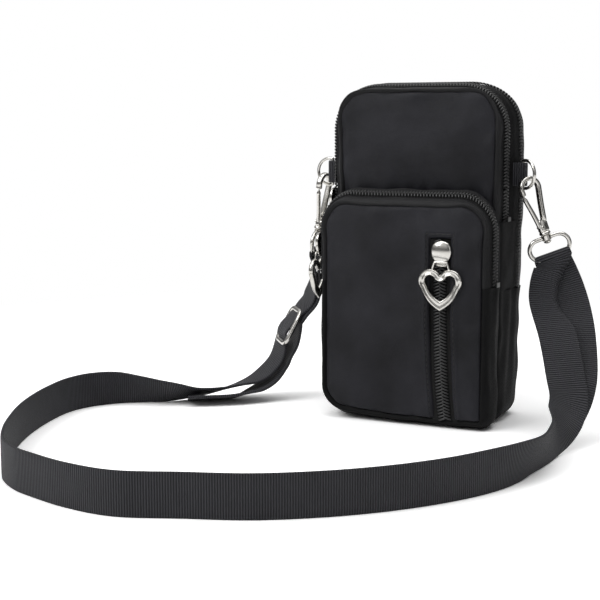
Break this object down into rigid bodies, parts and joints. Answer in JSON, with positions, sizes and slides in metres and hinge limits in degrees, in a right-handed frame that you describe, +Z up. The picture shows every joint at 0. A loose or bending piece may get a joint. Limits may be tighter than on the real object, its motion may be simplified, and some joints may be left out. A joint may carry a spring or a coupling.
{
  "type": "padded phone pouch",
  "caption": "Upright padded nylon phone pouch with a zipped front pocket, two zipped compartments, heart zip pulls and a long clip-on webbing strap.",
  "frame": {"origin": "middle of the base, halfway through the depth of body and pocket together", "axes": "+Z up, +X to the right seen from the front, -Y towards the front, where the pocket and the loop of the strap lie"},
  "size_m": [0.281, 0.2625, 0.186],
  "materials": {
    "nylon_panel": "padded plain-weave nylon",
    "nylon_band": "padded plain-weave nylon",
    "lining": "thin lining cloth",
    "zip_tape": "woven tape",
    "zip_coil": "moulded coil",
    "webbing": "ribbed webbing",
    "nickel": "bright plated"
  },
  "bodies": {
    "pouch": {"main_front_panel": "nylon_panel", "zip_band_ends": "nylon_band", "main_middle_band": "nylon_band", "side_gussets": "nylon_band", "lower_gusset": "nylon_band", "back_panel": "nylon_panel", "compartment_divider": "lining", "pocket_face": "nylon_panel", "pocket_front_band": "nylon_band", "pocket_back_band": "nylon_band", "pocket_gusset": "nylon_band", "slip_lining": "lining", "zip_tape_ends": "zip_tape", "main_body_tape": "zip_tape", "zip_coil_ends": "zip_coil", "main_body_coil": "zip_coil", "rear_body_tape": "zip_tape", "rear_body_coil": "zip_coil", "pocket_zip_tapes": "zip_tape", "pocket_zip_coils": "zip_coil", "slot_zip_tapes": "zip_tape", "slot_zip_coils": "zip_coil", "zip_stops": "nickel", "ring_tab_right": "webbing", "ring_tab_left": "webbing", "swivel_ring_right": "nickel", "swivel_ring_left": "nickel", "strap_webbing": "webbing", "strap_end_flap": "webbing", "strap_tail": "webbing", "adjuster_frame": "nickel", "adjuster_pin": "nickel"},
    "main_flap": {"main_flap_panel": "nylon_panel", "main_flap_band": "nylon_band", "main_flap_tape": "zip_tape", "main_flap_coil": "zip_coil"},
    "rear_flap": {"rear_flap_panel": "nylon_panel", "rear_flap_band": "nylon_band", "rear_flap_tape": "zip_tape", "rear_flap_coil": "zip_coil"},
    "slot_slider": {"slot_slider": "nickel"},
    "slot_heart": {"slot_heart": "nickel"},
    "pocket_slider": {"pocket_slider": "nickel"},
    "pocket_heart": {"pocket_heart": "nickel"},
    "main_slider": {"main_slider": "nickel"},
    "main_heart": {"main_heart": "nickel"},
    "rear_slider": {"rear_slider": "nickel"},
    "rear_heart": {"rear_heart": "nickel"},
    "d_ring_right": {"d_ring_right": "nickel"},
    "d_ring_left": {"d_ring_left": "nickel"},
    "hook_right": {"hook_right": "nickel", "gate_pin_right": "nickel", "gate_spring_right": "nickel"},
    "hook_left": {"hook_left": "nickel", "gate_pin_left": "nickel", "gate_spring_left": "nickel"},
    "gate_right": {"gate_right": "nickel"},
    "gate_left": {"gate_left": "nickel"}
  },
  "joints": [
    {"name": "main_flap_fold", "type": "hinge", "parent": "pouch", "child": "main_flap", "pos_m": [0, -0.00925, 0.128], "axis": [1, 0, 0], "range_deg": [0, 80]},
    {"name": "rear_flap_fold", "type": "hinge", "parent": "pouch", "child": "rear_flap", "pos_m": [0, 0.02925, 0.0906], "axis": [-1, 0, 0], "range_deg": [0, 100]},
    {"name": "slot_zip_travel", "type": "slide", "parent": "pouch", "child": "slot_slider", "axis": [0, 0, -1], "range_m": [0, 0.062]},
    {"name": "slot_heart_swing", "type": "hinge", "parent": "slot_slider", "child": "slot_heart", "pos_m": [0.0226, -0.03245, 0.0902], "axis": [-1, 0, 0], "range_deg": [0, 140]},
    {"name": "pocket_zip_travel", "type": "slide", "parent": "pouch", "child": "pocket_slider", "axis": [0, 0, 1], "range_m": [-0.0095, 0.002]},
    {"name": "pocket_heart_swing", "type": "hinge", "parent": "pocket_slider", "child": "pocket_heart", "pos_m": [-0.0523, -0.02015, 0.0917], "axis": [0, 1, 0], "range_deg": [0, 140]},
    {"name": "main_zip_travel", "type": "slide", "parent": "pouch", "child": "main_slider", "axis": [0, 0, 1], "range_m": [0, 0.015]},
    {"name": "main_heart_swing", "type": "hinge", "parent": "main_slider", "child": "main_heart", "pos_m": [-0.0523, -0.00015, 0.1154], "axis": [0, 1, 0], "range_deg": [0, 12]},
    {"name": "rear_zip_travel", "type": "slide", "parent": "pouch", "child": "rear_slider", "axis": [0, 0, 1], "range_m": [0, 0.014]},
    {"name": "rear_heart_swing", "type": "hinge", "parent": "rear_slider", "child": "rear_heart", "pos_m": [-0.0523, 0.01475, 0.078], "axis": [0, 1, 0], "range_deg": [0, 30]},
    {"name": "d_ring_right_turn", "type": "hinge", "parent": "pouch", "child": "d_ring_right", "pos_m": [0.0556, 0.0081, 0.1355], "axis": [0, 0, 1], "range_deg": [-12, 12]},
    {"name": "d_ring_left_turn", "type": "hinge", "parent": "pouch", "child": "d_ring_left", "pos_m": [-0.0556, 0.0081, 0.1355], "axis": [0, 0, 1], "range_deg": [-12, 12]},
    {"name": "hook_right_swivel", "type": "hinge", "parent": "pouch", "child": "hook_right", "pos_m": [0.07076, 0.00944, 0.09649], "axis": [-0.3125, -0.1391, 0.9397], "range_deg": [-25, 15]},
    {"name": "hook_left_swivel", "type": "hinge", "parent": "pouch", "child": "hook_left", "pos_m": [-0.06531, 0.00907, 0.09467], "axis": [0.1219, 0, 0.9925], "range_deg": [-30, 25]},
    {"name": "gate_right_press", "type": "hinge", "parent": "hook_right", "child": "gate_right", "pos_m": [0.06612, 0.00663, 0.10704], "axis": [-0.7314, 0.6664, -0.1445], "range_deg": [0, 15], "stiffness_Nm_per_rad": 0.02, "springref_deg": -17.19},
    {"name": "gate_left_press", "type": "hinge", "parent": "hook_left", "child": "gate_left", "pos_m": [-0.06412, 0.00749, 0.10636], "axis": [-0.9803, 0.1564, 0.1204], "range_deg": [0, 15], "stiffness_Nm_per_rad": 0.02, "springref_deg": -17.19}
  ]
}
